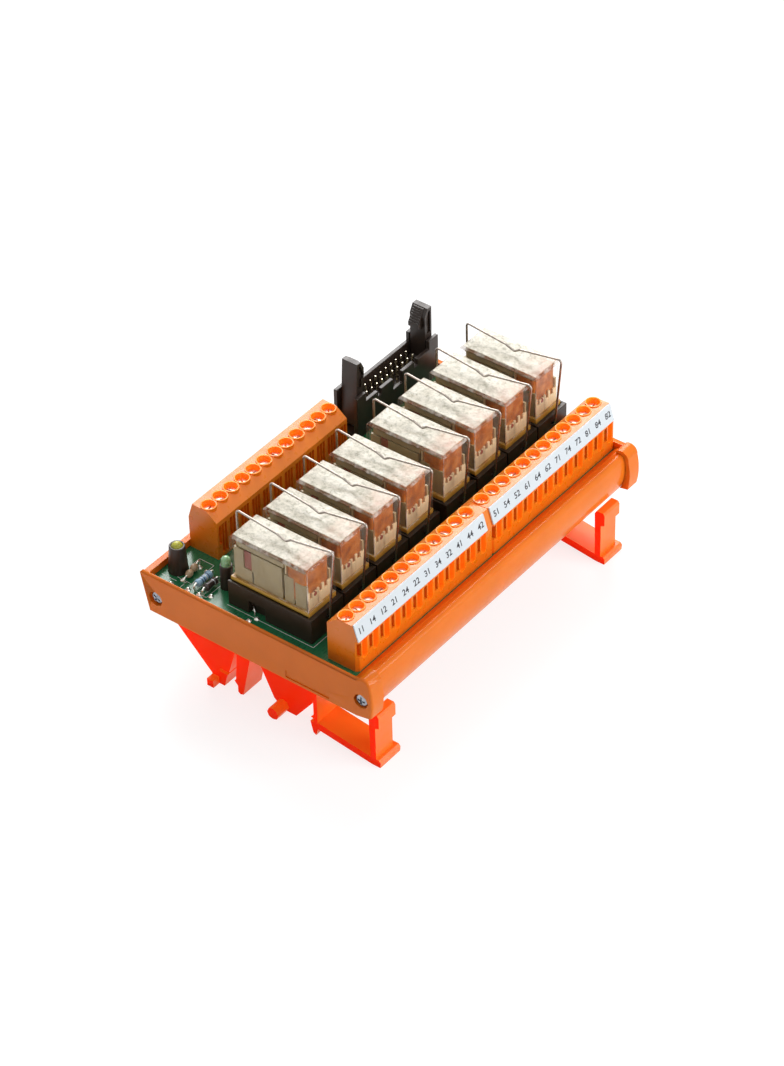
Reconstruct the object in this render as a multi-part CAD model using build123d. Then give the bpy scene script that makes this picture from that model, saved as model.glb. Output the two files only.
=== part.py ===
from build123d import *
import math
import os

# Relay interface module for a 35 mm mounting rail. Sizes are in millimetres.
# X runs along the module, -Y is the output side, +Y the input side and Z is up from the feet.
# Outlines are listed as (across, up) about the place named beside them.

# How far joined or cut shapes reach past each other
weld = 1.0

# Board and carrier
board_top = 30.8
board_thick = 1.6
board_gap = 0.1
near_margin = 3.46
far_margin = 0.48
plate_thick = 1.5
front_edge_y = -37.7
back_edge_y = 40.4
lip_cover = 0.8
back_lip_cover = 0.5
lip_rise = 2.5
lip_thick = 1.9
nose_reach = 2.9
back_lip_thick = 2.0
back_wall_lean = 2.9
floor_thick = 2.6
trough_bottom = 19.3
wall_thick = 2.6
lip_bevel = (0.8, 0.4)
nose_brow = (1.0, 0.2)
nose_shoulder = (0.3, 1.2)
nose_belly_drop = 4.0
nose_foot = 0.2
channel_radius = 1.35
boss_wall = 0.9
screw_front = (-38.3, 26.2)
screw_back = (36.9, 25.6)
track_ys = (-23.0, 23.0)
track_mouth = 3.0
track_width = 5.4
track_lip = 0.9
track_deep = 1.9

# End plates and their screws
plate_rim = 0.4
cap_wall = 1.7
cap_depth = 5.4
cap_rise = 1.2
plate_drop = 0.8
cap_break = 5.6
cap_start = 4.5
cap_crest = (1.7, 0.8)
cap_brow = (0.6, 1.6)
cap_chin = (0.6, 1.0)
cap_gap = 0.2
plate_screw_length = 9.0
plate_screw_head = 2.2
plate_screw_shank = 1.15
plate_screw_sink = 1.0
plate_screw_gap = 0.35
recess_size = (2.86, 0.55)
recess_depth = 0.6
screw_sides = 8

# Mounting rail and the feet that clip on it
rail_width = 35.0
rail_centre_y = -0.4
rail_flange = 1.3
rail_seat = 6.2
rail_play = 0.2
foot_width = 9.2
foot_insets = (6.5, 11.4)
foot_flange = 1.5
foot_root = 0.1
flange_ends = (-26.5, 37.0)
leg_inset = 0.7
leg_root = (-6.6, 18.2)
leg_heel = (3.4, 2.8)
leg_sole = (-1.2, 3.2)
leg_slot_mouth = -2.6
leg_slot_root = -3.2
hook_insets = (0.6, 0.3)
hook_root = (-12.0, -6.8)
hook_end = ((-5.8, 5.2), (-5.2, 4.3), (-6.4, 2.9), (-6.4, 0.6), (-7.2, 0.0), (-8.4, 0.4))
wedge_inset = 3.0
wedge_root = (1.0, 24.0)
wedge_end = ((17.0, 2.8), (14.0, 0.0), (8.9, 0.0), (2.7, 8.2))
latch_play = 0.1
latch_bar_back = -1.5
latch_catch = 1.0
latch_barb = (1.2, 0.3)
latch_tip = ((0.2, 0.6), (-0.8, 0.0), (-1.5, 2.6))
latch_strip_rise = 5.2
toe_outline = ((2.2, 0.0), (-0.9, 0.0), (-1.1, 1.8), (-0.4, 2.6), (2.4, 2.6))
lever_reach = 23.2
lever_width = 7.8
lever_stem = ((0.6, 1.0), (2.6, 1.0))
lever_top = 19.6
lever_head = ((2.9, -1.2), (2.2, 0.0), (-0.2, 0.0), (-0.7, -0.8), (-0.7, -4.6), (0.6, -5.2))
lug_reach = 2.0
lug_radius = 1.9
lug_place = 13.6
heel_lug = ((0.8, 3.2), (0.0, 2.6))

# Terminal blocks
pole_pitch = 5.08
pole_count = 12
block_joint = 2.54
output_line_y = -27.9
input_block_inset = 18.21
input_line_y = 34.0
block_front = 5.8
block_back = 4.9
block_sill = 11.3
block_crown = 16.8
block_shoulder = 13.6
crown_front = 4.1
crown_back = 0.5
collar_radius = 2.45
collar_rise = 0.5
well_radius = 1.9
well_floor = 3.5
well_sides = 8
shank_sides = 4
entry_width = 2.3
entry_height = 7.4
entry_cover = 0.2
entry_round = (0.4, 0.8)
entry_end = -1.14
screw_head_radius = 1.7
screw_head_height = 1.5
screw_head_depth = 2.7
screw_slot = 0.5
screw_slot_depth = 0.7
screw_turn = 35
screw_shank = 1.1
clamp_side = 2.45
clamp_height = 5.8
strip_thick = 0.5
strip_end_gap = 0.2

# Relays, sockets and retaining bails
relay_count = 8
relay_shift = 1.47
relay_width = 12.5
relay_length = 28.4
relay_centre_y = 0.05
relay_seat = 8.2
relay_height = 16.9
base_height = 1.6
cover_wall = 0.6
cover_bevel = 0.8
frame_gap = 0.2
coil_width = 9.6
coil_length = 7.0
coil_height = 9.4
coil_floor = 3.6
coil_room = 1.2
coil_inset = 0.3
socket_width = 14.7
socket_wall = 1.05
socket_shift = -0.6
socket_height = 8.6
seat_gap = 0.2
window_start = 13.5
window_width = 6.0
window_height = 4.6
window_depth = 1.6
bail_wire = 0.7
wire_sides = 6
bail_pivot = 5.6
bail_gap = 0.1
bail_grip = 2.4
bail_end_gap = 0.4
bail_front_foot = 0.7
bail_back_foot = 1.25
bail_front_lean = 2.25
bail_back_lean = 0.1
bail_front_rise = 5.3
bail_back_rise = 3.6
bail_crest = (-3.65, 2.4)
bail_notch = (-1.6, 1.25)

# Flat-cable header
header_inset = 22.01
header_y = 35.2
pin_pitch = 2.54
pin_columns = 10
pin_side = 0.64
pin_top = 11.6
header_length = 40.4
header_width = 9.0
header_floor = 5.5
header_wall_top = 12.1
header_wall = 1.3
tower_length = 4.6
tower_top = 15.3
cheek_wall = 1.5
latch_gap = 0.15
latch_slot_length = 7.4
latch_root = 1.5
key_width = 4.6
key_floor = 8.0
side_key_width = 1.6
side_key_offset = 9.0
side_key_floor = 10.0
latch_inset = 2.8
latch_pivot_height = 4.3
latch_toe = ((-3.6, 1.5), (-1.8, 0.6), (-1.2, -1.3), (0.4, -1.8), (1.4, -0.8))
latch_arm = ((1.7, 14.7), (1.7, 21.7), (-0.2, 21.7))
latch_hook = ((-3.3, 16.3), (-3.3, 14.7), (-1.7, 14.3), (-1.6, 3.4), (-3.6, 2.7))
latch_pin_radius = 1.0
latch_pin_gap = 0.08
latch_pin_reach = 0.7
bearing_depth = 0.9
near_latch_lean = 4.0

# Small parts on the board
led_radius = 1.5
led_dome = 2.3
led_taper = 16
led_spacer_radius = 2.0
led_spacer_height = 7.7
status_led_shift = -2.2
status_led_y = 18.9
power_led_inset = 8.0
power_led_y = 35.8
power_led_radius = 2.2
power_spacer_radius = 3.1
power_lamp_sides = 8
lamp_sides = 6
power_spacer_height = 8.6
lead_width = 0.6
lead_reach = 1.2
lead_height = 2.0
resistor_place = (7.5, 25.8)
resistor_body = (1.2, 6.0)
diode_place = (6.8, 22.7)
diode_body = (1.2, 4.6)
bead_places = ((7.3, 31.0), (10.0, 31.6))
bead_size = (2.6, 2.0, 2.6)
bead_bevel = 0.6
bead_turn = 20

# Worked-out places
board_bottom = board_top - board_thick
row_length = 2 * pole_count * pole_pitch + block_joint
half_trough = (near_margin + row_length + far_margin) / 2
nose_front = front_edge_y - nose_reach
back_inner = back_edge_y - back_lip_cover
back_outer = back_inner + back_lip_thick
plate_front = nose_front - cap_wall
plate_back = back_outer + plate_rim
row_start = near_margin - half_trough
block_length = pole_count * pole_pitch
second_block_start = row_start + block_length + block_joint
input_start = input_block_inset - half_trough
header_x = half_trough - header_inset
relay_pitch = 3 * pole_pitch
collar_top = block_crown + collar_rise
screw_head_top = collar_top - screw_head_depth
latch_pivot = (header_length / 2 - latch_inset, latch_pivot_height)
relay_top = relay_seat + relay_height
socket_length = relay_length + 2 * socket_wall
socket_middle = relay_centre_y + socket_shift
socket_ends = (socket_middle - socket_length / 2, socket_middle + socket_length / 2)
foot_top = trough_bottom - foot_flange
back_rail = rail_centre_y + rail_width / 2
front_rail = rail_centre_y - rail_width / 2
lever_y = front_rail - lever_reach


def relay_centre_x(index):
    """The middle of a relay, which follows the poles of its own output block."""
    start = row_start if index < relay_count // 2 else second_block_start
    return start + relay_pitch * (index % (relay_count // 2) + 0.5) + relay_shift


def cuboid(xs, ys, zs):
    """A block between two values along each axis."""
    size = (xs[1] - xs[0], ys[1] - ys[0], zs[1] - zs[0])
    return Pos(xs[0], ys[0], zs[0]) * Box(*size, align=(Align.MIN, Align.MIN, Align.MIN))


def along_x(outline, xs):
    """Extrude a sketch drawn with y to the right and z up, from one x to another."""
    return Pos(xs[0], 0, 0) * extrude(Plane.YZ * outline, xs[1] - xs[0], dir=(1, 0, 0))


def along_y(outline, ys):
    """Extrude a sketch drawn with x to the right and z up, from one y to another."""
    upright = Plane((0, 0, 0), (1, 0, 0), (0, -1, 0)) * outline
    return Pos(0, ys[0], 0) * extrude(upright, ys[1] - ys[0], dir=(0, 1, 0))


def polygon(*points):
    """A closed outline with straight sides."""
    return make_face(Polyline(*points, close=True))


def shifted(points, y, z):
    """An outline's points moved to their place."""
    return [(y + across, z + up) for across, up in points]


def prism(radius, sides, zs):
    """An upright bar with a regular outline."""
    return Pos(0, 0, zs[0]) * extrude(RegularPolygon(radius, sides, rotation=180 / sides), zs[1] - zs[0])


def nose_outline(grow=0.0):
    """The rounded front edge of the trough, moved out by a clearance."""
    front = nose_front - grow
    top = board_top + lip_thick + grow
    inner = front_edge_y + lip_cover
    foot = (front_edge_y - nose_foot - grow, trough_bottom - grow)
    bevel = (inner - lip_bevel[0], top + lip_bevel[1])
    brow = (front + nose_brow[0], top + nose_brow[1])
    shoulder = (front + nose_shoulder[0], top - nose_shoulder[1])
    return make_face(
        [
            Line((inner, trough_bottom - grow), (inner, top)),
            Line((inner, top), bevel),
            ThreePointArc(bevel, brow, shoulder),
            ThreePointArc(shoulder, (front, board_top - nose_belly_drop), foot),
            Line(foot, (inner, trough_bottom - grow)),
        ]
    )


def carrier_profile():
    """The extruded trough that holds the board by its long edges."""
    xs = (-half_trough, half_trough)
    lip_top = board_top + lip_rise
    front_wall = front_edge_y + lip_cover
    shelf = board_bottom - board_gap
    boss = screw_back[0] - channel_radius - boss_wall
    section = nose_outline()
    section += polygon(
        (front_wall - weld, trough_bottom),
        (back_outer - back_wall_lean, trough_bottom),
        (back_outer, lip_top),
        (back_inner, lip_top),
        (back_inner, shelf),
        (boss, shelf),
        (boss, trough_bottom + floor_thick),
        (front_wall + wall_thick, trough_bottom + floor_thick),
        (front_wall + wall_thick / 2, shelf),
        (front_wall - weld, shelf),
    )
    for low, high in ((front_edge_y - board_gap, front_wall), (back_inner, back_edge_y + board_gap)):
        groove = Rectangle(high - low, board_thick + 2 * board_gap)
        section -= Pos((low + high) / 2, board_top - board_thick / 2) * groove
    channel = RegularPolygon(channel_radius, well_sides)
    section -= Pos(*screw_front) * channel
    section -= Pos(*screw_back) * channel
    for y in track_ys:
        mouth = Rectangle(track_mouth, 2 * track_lip)
        chamber = Rectangle(track_width, track_deep - track_lip)
        section -= Pos(y, trough_bottom) * mouth
        section -= Pos(y, trough_bottom + (track_deep + track_lip) / 2) * chamber
    return along_x(section, xs)


def plate_outline():
    """The side view of an end plate, straight behind and rounded over the nose."""
    top = board_top + lip_rise
    bottom = trough_bottom + plate_drop
    back = plate_back
    front = plate_front
    start = (front + cap_start, top + cap_rise)
    crest = (front + cap_crest[0], top + cap_crest[1])
    brow = (front + cap_brow[0], top - cap_brow[1])
    chin = (front + cap_chin[0], bottom + cap_chin[1])
    return make_face(
        [
            Line((back, top), (front + cap_break, top)),
            Line((front + cap_break, top), start),
            ThreePointArc(start, crest, brow),
            ThreePointArc(brow, (front, (brow[1] + chin[1]) / 2), chin),
            Line(chin, (front + cap_break, bottom)),
            Line((front + cap_break, bottom), (back - back_wall_lean, bottom)),
            Line((back - back_wall_lean, bottom), (back, top)),
        ]
    )


def end_plate(side):
    """A moulded end plate with its cap; side is -1 at the near end and 1 at the far end."""
    inner = side * half_trough
    outer = inner + side * plate_thick
    cap_end = outer - side * cap_depth
    xs = sorted((inner, outer))
    plate = along_x(plate_outline(), xs)
    depths = (plate_front - weld, front_edge_y + lip_cover - cap_gap)
    heights = (trough_bottom, board_top + lip_rise + cap_rise + weld)
    keep = cuboid(sorted((outer, cap_end)), depths, heights)
    plate += along_x(plate_outline(), sorted((inner, cap_end))) & keep
    plate -= along_x(nose_outline(board_gap), sorted((inner, cap_end)))
    hole = RegularPolygon(plate_screw_shank + plate_screw_gap, well_sides)
    sink = RegularPolygon(plate_screw_head + plate_screw_gap, screw_sides)
    for y, z in (screw_front, screw_back):
        plate -= along_x(Pos(y, z) * hole, xs)
        plate -= along_x(Pos(y, z) * sink, sorted((outer, outer - side * plate_screw_sink)))
    if side > 0:
        plate -= socket_room(relay_count - 1)
    return plate


def socket_room(index):
    """The room a socket takes with its clearance, which thins the far end plate beside the board."""
    half = socket_width / 2 + board_gap
    middle = relay_centre_x(index)
    ys = (socket_ends[0] - board_gap, socket_ends[1] + board_gap)
    return cuboid((middle - half, middle + half), ys, (board_top, board_top + socket_height))


def plate_screw(side, place):
    """A cross-recess screw, head outwards."""
    y, z = place
    screw = prism(plate_screw_head, screw_sides, (-plate_screw_sink, 0))
    screw += prism(plate_screw_shank, shank_sides, (-plate_screw_length, -plate_screw_sink))
    for turn in (0, 90):
        screw -= Rot(0, 0, turn) * Box(*recess_size, 2 * recess_depth)
    return Pos(side * (half_trough + plate_thick), y, z) * Rot(0, side * 90, 0) * screw


def fixed_leg():
    """The back leg: a sloping web whose slot takes the rail's back edge."""
    slot_floor = rail_seat - rail_flange
    return polygon(
        (back_rail + leg_root[0], foot_top + foot_root),
        (back_rail + leg_root[1], foot_top + foot_root),
        (back_rail + leg_heel[0], leg_heel[1]),
        (back_rail + leg_sole[1], 0),
        (back_rail + leg_sole[0], 0),
        (back_rail + leg_slot_mouth, slot_floor),
        (back_rail + rail_play, slot_floor),
        (back_rail + rail_play, rail_seat),
        (back_rail + leg_slot_root, rail_seat),
    )


def centre_hook():
    """The slender hook beside the back leg."""
    root = shifted([(across, foot_root) for across in hook_root], back_rail, foot_top)
    return polygon(*root, *shifted(hook_end, back_rail, 0))


def front_leg():
    """The wedge in the middle, which ends in a foot with a round lug."""
    root = shifted([(across, foot_root) for across in wedge_root], front_rail, foot_top)
    return polygon(*root, *shifted(wedge_end, front_rail, 0))


def latch_bar():
    """The sprung bar whose barbs take the rail's front edge, with the strip that runs forward."""
    face = front_rail - latch_play
    back = front_rail + latch_bar_back
    slot_floor = rail_seat - rail_flange
    return polygon(
        (back, foot_top + foot_root),
        (face, foot_top + foot_root),
        (face, rail_seat + latch_catch),
        (face + latch_catch + latch_play, rail_seat),
        (face, rail_seat),
        (face, slot_floor),
        (front_rail + latch_barb[0], slot_floor - latch_barb[1]),
        *shifted(latch_tip, front_rail, 0),
        *shifted(toe_outline, lever_y, 0),
        (back, latch_strip_rise),
    )


def release_lever():
    """The lever that stands up from the strip's end, with its thick head."""
    return polygon(*shifted(lever_stem, lever_y, 0), *shifted(lever_head, lever_y, lever_top))


def track_tongue():
    """The section that slides in the trough's track, about the track's mouth."""
    neck = track_mouth / 2 - board_gap
    head = track_width / 2 - board_gap
    low = track_lip + board_gap
    high = track_deep - board_gap
    return polygon(
        (-neck, -weld),
        (neck, -weld),
        (neck, low),
        (head, low),
        (head, high),
        (-head, high),
        (-head, low),
        (-neck, low),
    )


def rail_foot(centre_x):
    """One moulded foot: flange with track tongues, three legs and the sprung release lever."""
    xs = (centre_x - foot_width / 2, centre_x + foot_width / 2)
    foot = cuboid(xs, flange_ends, (foot_top, trough_bottom))
    for y in track_ys:
        foot += along_x(Pos(y, trough_bottom) * track_tongue(), xs)
    foot += along_x(fixed_leg(), (xs[0] + leg_inset, xs[1]))
    foot += along_x(centre_hook(), (xs[0] + hook_insets[0], xs[1] - hook_insets[1]))
    foot += along_x(front_leg(), (xs[0] + wedge_inset, xs[1]))
    foot += along_x(latch_bar(), xs)
    foot += along_x(release_lever(), (xs[0], xs[0] + lever_width))
    lug_start = xs[0] - lug_reach
    lug_ys, lug_zs = heel_lug
    foot += cuboid((lug_start, xs[0] + lug_reach), (back_rail + lug_ys[0], back_rail + lug_ys[1]), lug_zs)
    lug = RegularPolygon(lug_radius, well_sides, major_radius=False)
    lug_at = Pos(front_rail + lug_place, lug_radius)
    return foot + along_x(lug_at * lug, (lug_start, xs[0] + wedge_inset + weld))


def circuit_board():
    """The board, held in the trough's grooves between the end plates."""
    xs = (-half_trough + board_gap, half_trough - board_gap)
    return cuboid(xs, (front_edge_y, back_edge_y), (board_bottom, board_top))


def block_section():
    """Side view of a terminal block about its screw line, with its wire side to the left."""
    return polygon(
        (-block_front, 0),
        (-block_front, block_sill),
        (-crown_front, block_crown),
        (crown_back, block_crown),
        (block_back, block_shoulder),
        (block_back, 0),
    )


def wire_entry():
    """A round-bottomed opening for the wire, reaching in to the clamp."""
    half = entry_width / 2
    floor_half = half * entry_round[0]
    top = block_sill - entry_cover
    low = top - entry_height
    round_start = low + half * entry_round[1]
    outline = polygon(
        (-half, top),
        (-half, round_start),
        (-floor_half, low),
        (floor_half, low),
        (half, round_start),
        (half, top),
    )
    return along_y(outline, (-block_front - weld, entry_end))


def terminal_block():
    """A twelve-pole housing, starting at x = 0 with its screw line on y = 0."""
    block = along_x(block_section(), (0, block_length))
    collars = []
    cuts = []
    for pole in range(pole_count):
        at = Pos(pole_pitch * (pole + 0.5), 0, 0)
        collars.append(at * prism(collar_radius, well_sides, (block_shoulder - weld, collar_top)))
        cuts.append(at * prism(well_radius, well_sides, (well_floor, collar_top + weld)))
        cuts.append(at * wire_entry())
    block += collars
    block -= cuts
    return block


def terminal_screw():
    """A slotted clamp screw on the axis of its well."""
    underside = screw_head_top - screw_head_height
    screw = prism(screw_head_radius, well_sides, (underside, screw_head_top))
    screw += prism(screw_shank, shank_sides, (well_floor + clamp_height, underside))
    slot = Box(2 * screw_head_radius + weld, screw_slot, 2 * screw_slot_depth)
    return screw - Pos(0, 0, screw_head_top) * slot


def terminal_clamp():
    """The metal clamp at the foot of the well, behind the wire entry."""
    half = clamp_side / 2
    return cuboid((-half, half), (-half, half), (well_floor, well_floor + clamp_height))


def pole_places():
    """Where each of the screws stands, as (x, y, turn)."""
    places = []
    for start in (row_start, second_block_start):
        for pole in range(pole_count):
            places.append((start + pole_pitch * (pole + 0.5), output_line_y, 0))
    for pole in range(pole_count):
        places.append((input_start + pole_pitch * (pole + 0.5), input_line_y, 180))
    return places


def marker_strip(start):
    """The strip that lies on a block's slanted face."""
    rise = block_crown - block_sill
    run = block_front - crown_front
    slope = math.hypot(rise, run)
    out = (-rise / slope * strip_thick, run / slope * strip_thick)
    outline = polygon(
        (-block_front, block_sill),
        (-crown_front, block_crown),
        (-crown_front + out[0], block_crown + out[1]),
        (-block_front + out[0], block_sill + out[1]),
    )
    xs = (start + strip_end_gap, start + block_length - strip_end_gap)
    return Pos(0, output_line_y, board_top) * along_x(outline, xs)


def relay_socket():
    """A socket about the relay's middle, with the seat, the bail's holes and a side window."""
    half = socket_width / 2
    low_y, high_y = socket_ends
    socket = cuboid((-half, half), (low_y, high_y), (0, socket_height))
    seat_x = relay_width / 2 + seat_gap
    seat_y = relay_length / 2 + seat_gap
    seat = (relay_centre_y - seat_y, relay_centre_y + seat_y)
    socket -= cuboid((-seat_x, seat_x), seat, (relay_seat, socket_height + weld))
    hole = RegularPolygon(bail_wire / 2 + bail_gap, wire_sides, major_radius=False, rotation=30)
    reach = bail_grip + bail_end_gap
    for ys in ((low_y - weld, low_y + reach), (high_y - reach, high_y + weld)):
        socket -= along_y(Pos(0, bail_pivot) * hole, ys)
    start = high_y - window_start
    depths = (-half - weld, -half + window_depth)
    return socket - cuboid(depths, (start, start + window_width), (-weld, window_height))


def relay_body():
    """The relay's base with its insulating frame, open at the front where the coil stands."""
    x = relay_width / 2
    y = relay_length / 2
    body = cuboid((-x, x), (-y, y), (0, base_height))
    inner_x = x - cover_wall - frame_gap
    inner_y = y - cover_wall - frame_gap
    top = relay_height - cover_wall - frame_gap
    frame = polygon(
        (-inner_y, base_height - weld),
        (inner_y, base_height - weld),
        (inner_y, top),
        (-inner_y, top),
        (-inner_y, coil_floor + coil_height),
        (-inner_y + coil_length + coil_room, coil_floor + coil_height),
        (-inner_y + coil_length + coil_room, coil_floor),
        (-inner_y, coil_floor),
    )
    return body + along_x(frame, (-inner_x, inner_x))


def relay_coil():
    """The copper winding in the front of the relay's frame."""
    start = -relay_length / 2 + cover_wall + frame_gap + coil_inset
    half = coil_width / 2
    zs = (coil_floor, coil_floor + coil_height)
    return cuboid((-half, half), (start, start + coil_length), zs)


def relay_cover():
    """The clear cover over the relay, open below, with a bevelled top."""
    x = relay_width / 2
    y = relay_length / 2
    cover = cuboid((-x, x), (-y, y), (base_height, relay_height))
    top = cover.faces().sort_by(Axis.Z)[-1]
    cover = chamfer(top.edges(), cover_bevel)
    x -= cover_wall
    y -= cover_wall
    return cover - cuboid((-x, x), (-y, y), (base_height - weld, relay_height - cover_wall))


def bail_route():
    """The wire's centre line, from one hinge end over the relay to the other."""
    low_y, high_y = socket_ends
    front = low_y - bail_front_foot
    back = high_y + bail_back_foot
    return [
        (low_y + bail_grip, bail_pivot),
        (front, bail_pivot),
        (front - bail_front_lean, relay_top + bail_front_rise),
        (bail_crest[0], relay_top + bail_crest[1]),
        (bail_notch[0], relay_top + bail_notch[1]),
        (back + bail_back_lean, relay_top + bail_back_rise),
        (back, bail_pivot),
        (high_y - bail_grip, bail_pivot),
    ]


def retaining_bail():
    """Round wire as a bar of few sides, bent over the relay, whose ends lie in the socket."""
    points = [Vector(0, y, z) for y, z in bail_route()]
    path = Polyline(*points)
    start = Plane(points[0], x_dir=(1, 0, 0), z_dir=points[1] - points[0])
    section = start * RegularPolygon(bail_wire / 2, wire_sides, rotation=30)
    return sweep(section, path, transition=Transition.RIGHT)


def latch_journal(grow=0.0):
    """The round section of a latch's pivot; in its bearing the flats clear the pin's corners."""
    if grow:
        return RegularPolygon(latch_pin_radius + grow, well_sides, major_radius=False)
    return RegularPolygon(latch_pin_radius, well_sides)


def header_housing():
    """The box header: floor and walls, key slots, and two towers that hold the latches."""
    half = header_length / 2
    wall = header_width / 2
    housing = cuboid((-half, half), (-wall, wall), (0, header_wall_top))
    for side in (-1, 1):
        xs = sorted((side * (half - tower_length), side * half))
        housing += cuboid(xs, (-wall, wall), (0, tower_top))
    inner = wall - header_wall
    above = tower_top + weld
    housing -= cuboid((-half - weld, half + weld), (-inner, inner), (header_floor, above))
    slot = wall - cheek_wall
    for side in (-1, 1):
        xs = sorted((side * (half - latch_slot_length), side * (half + weld)))
        housing -= cuboid(xs, (-slot, slot), (latch_root, above))
        bearing = Pos(side * latch_pivot[0], latch_pivot[1]) * latch_journal(latch_pin_gap)
        housing -= along_y(bearing, (-slot - bearing_depth, slot + bearing_depth))
    front = (-wall - weld, 0)
    housing -= cuboid((-key_width / 2, key_width / 2), front, (key_floor, above))
    for offset in (-side_key_offset, side_key_offset):
        xs = (offset - side_key_width / 2, offset + side_key_width / 2)
        housing -= cuboid(xs, front, (side_key_floor, above))
    return housing


def header_pin():
    """A square contact pin with a tapered tip."""
    half = pin_side / 2
    return cuboid((-half, half), (-half, half), (header_floor, pin_top))


def header_latch():
    """A latch seen upright: toe, arm, inward hook and the grip above it, outwards to +x."""
    outline = polygon(*shifted((*latch_toe, *latch_arm, *latch_hook), *latch_pivot))
    slot = header_width / 2 - cheek_wall
    width = slot - latch_gap
    reach = slot + latch_pin_reach
    latch = along_y(outline, (-width, width))
    return latch + along_y(Pos(*latch_pivot) * latch_journal(), (-reach, reach))


def led(radius, sides, bottom):
    """A lamp that narrows to its end."""
    outline = RegularPolygon(radius, sides, rotation=180 / sides)
    return Pos(0, 0, bottom) * extrude(outline, led_dome, taper=led_taper)


def axial_part(body):
    """A part lying on its bent leads: body is (radius, length)."""
    radius, length = body
    reach = length / 2 + lead_reach
    half = lead_width / 2
    part = along_x(RegularPolygon(radius, lamp_sides), (-length / 2, length / 2))
    part += along_x(Rectangle(lead_width, lead_width), (-reach, reach))
    for xs in ((-reach, lead_width - reach), (reach - lead_width, reach)):
        part += cuboid(xs, (-half, half), (-lead_height, 0))
    return Pos(0, 0, lead_height) * part


def bead_capacitor():
    """A small dipped capacitor on edge."""
    length, width, height = bead_size
    bead = cuboid((-length / 2, length / 2), (-width / 2, width / 2), (0, height))
    return chamfer(bead.edges().filter_by(Axis.Z), bead_bevel)


def placed(shape, x, y, turn=0):
    """Stand a piece on the board."""
    return Pos(x, y, board_top) * Rot(0, 0, turn) * shape


def near_place(inset, y):
    """A place on the board given from its near end."""
    return inset - half_trough, y


def gather(shapes):
    """Like pieces kept apart in one group."""
    return Compound(children=[solid for shape in shapes for solid in shape.solids()])


def latches():
    """The two latches: the near one leans inwards, the far one stands upright."""
    pivot_x, pivot_z = latch_pivot
    lean = Pos(pivot_x, 0, pivot_z) * Rot(0, -near_latch_lean, 0) * Pos(-pivot_x, 0, -pivot_z)
    near = Rot(0, 0, 180) * lean * header_latch()
    return placed(near, header_x, header_y), placed(header_latch(), header_x, header_y)


def lamp_parts():
    """The power lamp, the relays' lamps and their spacers, by name."""
    power = near_place(power_led_inset, power_led_y)
    spacer = prism(led_spacer_radius, lamp_sides, (0, led_spacer_height))
    power_spacer = prism(power_spacer_radius, power_lamp_sides, (0, power_spacer_height))
    lamp = led(led_radius, lamp_sides, led_spacer_height)
    power_lamp = led(power_led_radius, power_lamp_sides, power_spacer_height)
    places = [(relay_centre_x(index) + status_led_shift, status_led_y) for index in range(relay_count)]
    spacers = [placed(spacer, *place) for place in places]
    return {
        "power_led": placed(power_lamp, *power),
        "status_leds": gather([placed(lamp, *place) for place in places]),
        "led_spacers": gather([*spacers, placed(power_spacer, *power)]),
    }


def header_parts():
    """The flat-cable header with its pins and latches, by name."""
    pins = []
    for column in range(pin_columns):
        for row in (-0.5, 0.5):
            x = header_x + pin_pitch * (column - (pin_columns - 1) / 2)
            pins.append(placed(header_pin(), x, header_y + row * pin_pitch))
    near, far = latches()
    return {
        "header_housing": placed(header_housing(), header_x, header_y),
        "header_pins": gather(pins),
        "header_latch_near": near,
        "header_latch_far": far,
    }


def board_parts():
    """The board with its terminals and small parts, by name."""
    block = terminal_block()
    screw = terminal_screw()
    clamp = terminal_clamp()
    bead = bead_capacitor()
    places = pole_places()
    return {
        "circuit_board": circuit_board(),
        "output_block_near": placed(block, row_start, output_line_y),
        "output_block_far": placed(block, second_block_start, output_line_y),
        "input_block": placed(block, input_start + block_length, input_line_y, 180),
        "terminal_screws": gather([placed(screw, x, y, turn + screw_turn) for x, y, turn in places]),
        "terminal_clamps": gather([placed(clamp, x, y) for x, y, turn in places]),
        "marker_strip_near": marker_strip(row_start),
        "marker_strip_far": marker_strip(second_block_start),
        "resistor": placed(axial_part(resistor_body), *near_place(*resistor_place)),
        "diode": placed(axial_part(diode_body), *near_place(*diode_place)),
        "bead_capacitors": gather([placed(bead, *near_place(*place), bead_turn) for place in bead_places]),
    }


def relay_parts():
    """Sockets, relays and bails, by name."""
    made = {
        "relay_socket": (relay_socket(), 0, 0),
        "relay_body": (relay_body(), relay_centre_y, relay_seat),
        "relay_cover": (relay_cover(), relay_centre_y, relay_seat),
        "retaining_bail": (retaining_bail(), 0, 0),
    }
    parts = {}
    for index in range(relay_count):
        x = relay_centre_x(index)
        for name, (shape, y, z) in made.items():
            parts[f"{name}_{index + 1}"] = Pos(x, y, board_top + z) * shape
    coil = relay_coil()
    seat_z = board_top + relay_seat
    middles = [relay_centre_x(index) for index in range(relay_count)]
    parts["relay_coils"] = gather([Pos(x, relay_centre_y, seat_z) * coil for x in middles])
    return parts


def carrier_parts():
    """The trough, its end plates and screws, and the feet, by name."""
    screws = [plate_screw(side, place) for side in (-1, 1) for place in (screw_front, screw_back)]
    return {
        "carrier_profile": carrier_profile(),
        "end_plate_near": end_plate(-1),
        "end_plate_far": end_plate(1),
        "end_plate_screws": gather(screws),
        "rail_foot_near": rail_foot(foot_insets[0] - half_trough),
        "rail_foot_far": rail_foot(half_trough - foot_insets[1]),
    }


def write_parts():
    """Write one file for each named piece."""
    os.makedirs("parts", exist_ok=True)
    groups = (carrier_parts(), board_parts(), lamp_parts(), header_parts(), relay_parts())
    for group in groups:
        for name, shape in group.items():
            export_step(shape, f"parts/{name}.step")


write_parts()
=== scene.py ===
import math

import bmesh
import bpy
from mathutils import Matrix, Vector


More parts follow.
